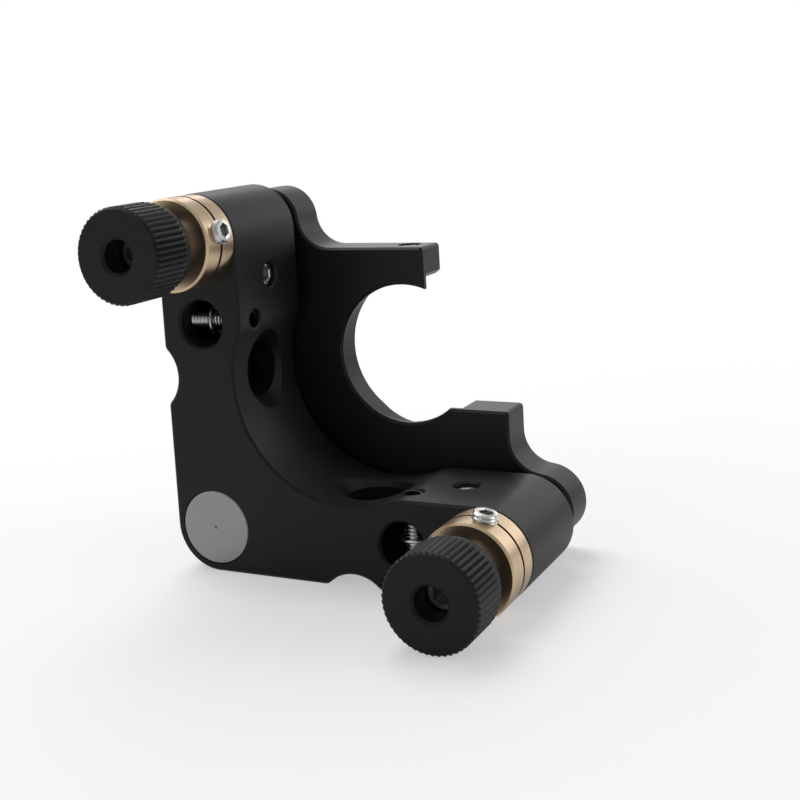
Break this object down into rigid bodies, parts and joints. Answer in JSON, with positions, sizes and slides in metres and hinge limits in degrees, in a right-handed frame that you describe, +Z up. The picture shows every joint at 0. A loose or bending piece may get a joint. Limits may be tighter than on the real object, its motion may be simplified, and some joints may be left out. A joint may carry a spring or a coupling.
{
  "type": "kinematic mirror mount",
  "caption": "Compact two-axis kinematic mirror mount: L-shaped back plate with brass-bushed fine screws and knobs, spring-held C-shaped plate that grips a round mirror.",
  "frame": {"origin": "on the optic axis, in the plane of the lip that the mirror seats against", "axes": "+Y along the optic axis, the way the mirror faces; +Z up from the base face; +X from the pivot towards the lower adjuster"},
  "size_m": [0.048, 0.0381, 0.048],
  "materials": {
    "black_anodised": "satin black anodised, fine machined grain",
    "black_knob": "satin black anodised, straight knurl",
    "turned_brass": "turned, light satin rings",
    "turned_steel": "turned grey steel",
    "stainless_screw": "bright stainless",
    "dark_screw": "blackened steel, fine thread",
    "bearing_ball": "polished",
    "spring_wire": "drawn wire",
    "nylon": "natural nylon"
  },
  "bodies": {
    "frame": {"back_plate": "black_anodised", "pivot_pin": "turned_steel", "upper_bushing": "turned_brass", "upper_bushing_screw": "stainless_screw", "upper_anchor_screw": "stainless_screw", "upper_spring": "spring_wire", "lower_bushing": "turned_brass", "lower_bushing_screw": "stainless_screw", "lower_anchor_screw": "stainless_screw", "lower_spring": "spring_wire"},
    "pivot": {"pivot_ball": "bearing_ball"},
    "optic_plate": {"front_plate": "black_anodised", "pivot_seat": "turned_steel", "vee_seat": "turned_steel", "flat_seat": "turned_steel", "upper_spring_pin": "turned_steel", "lower_spring_pin": "turned_steel"},
    "upper_tip": {"upper_tip_ball": "bearing_ball"},
    "lower_tip": {"lower_tip_ball": "bearing_ball"},
    "upper_adjuster": {"upper_adjuster_screw": "dark_screw", "upper_knob": "black_knob"},
    "lower_adjuster": {"lower_adjuster_screw": "dark_screw", "lower_knob": "black_knob"},
    "upper_lock": {"upper_lock_screw": "stainless_screw"},
    "lower_lock": {"lower_lock_screw": "stainless_screw"},
    "mirror_tip": {"optic_tip": "nylon"},
    "mirror_screw": {"optic_screw": "stainless_screw"}
  },
  "joints": [
    {"name": "upper_travel", "type": "slide", "parent": "frame", "child": "upper_tip", "axis": [0, 1, 0], "range_m": [-0.0015, 0.0015]},
    {"name": "upper_knob_turn", "type": "hinge", "parent": "upper_tip", "child": "upper_adjuster", "pos_m": [-0.01965, 0, 0.01685], "axis": [0, 1, 0], "range_deg": [-2170, 2170]},
    {"name": "upper_lock_turn", "type": "hinge", "parent": "frame", "child": "upper_lock", "pos_m": [-0.01965, -0.02035, 0.01685], "axis": [-0.9724, 0, -0.2334], "range_deg": [-45, 90]},
    {"name": "lower_travel", "type": "slide", "parent": "frame", "child": "lower_tip", "axis": [0, 1, 0], "range_m": [-0.0015, 0.0015]},
    {"name": "lower_knob_turn", "type": "hinge", "parent": "lower_tip", "child": "lower_adjuster", "pos_m": [0.01685, 0, -0.01965], "axis": [0, 1, 0], "range_deg": [-2170, 2170]},
    {"name": "lower_lock_turn", "type": "hinge", "parent": "frame", "child": "lower_lock", "pos_m": [0.01685, -0.02035, -0.01965], "axis": [-0.2334, 0, -0.9724], "range_deg": [-45, 90]},
    {"name": "pitch", "type": "hinge", "parent": "frame", "child": "pivot", "pos_m": [-0.01965, -0.0027, -0.01965], "axis": [1, 0, 0], "range_deg": [-2.4, 2.4], "deforming": ["upper_spring"]},
    {"name": "yaw", "type": "hinge", "parent": "pivot", "child": "optic_plate", "pos_m": [-0.01965, -0.0027, -0.01965], "axis": [0, 0, 1], "range_deg": [-2.4, 2.4], "deforming": ["lower_spring"]},
    {"name": "mirror_tip_travel", "type": "slide", "parent": "optic_plate", "child": "mirror_tip", "axis": [0, 0, -1], "range_m": [0, 0.001]},
    {"name": "mirror_screw_turn", "type": "hinge", "parent": "mirror_tip", "child": "mirror_screw", "pos_m": [0, 0.0024, 0.0139], "axis": [0, 0, -1], "range_deg": [0, 725]}
  ],
  "couplings": [
    {"joint": "upper_knob_turn", "follows": "upper_travel", "rad_per_m": 25133},
    {"joint": "lower_knob_turn", "follows": "lower_travel", "rad_per_m": 25133},
    {"joint": "pitch", "follows": "upper_travel", "rad_per_m": -27.397},
    {"joint": "yaw", "follows": "lower_travel", "rad_per_m": 27.397},
    {"joint": "mirror_screw_turn", "follows": "mirror_tip_travel", "rad_per_m": 12566}
  ]
}
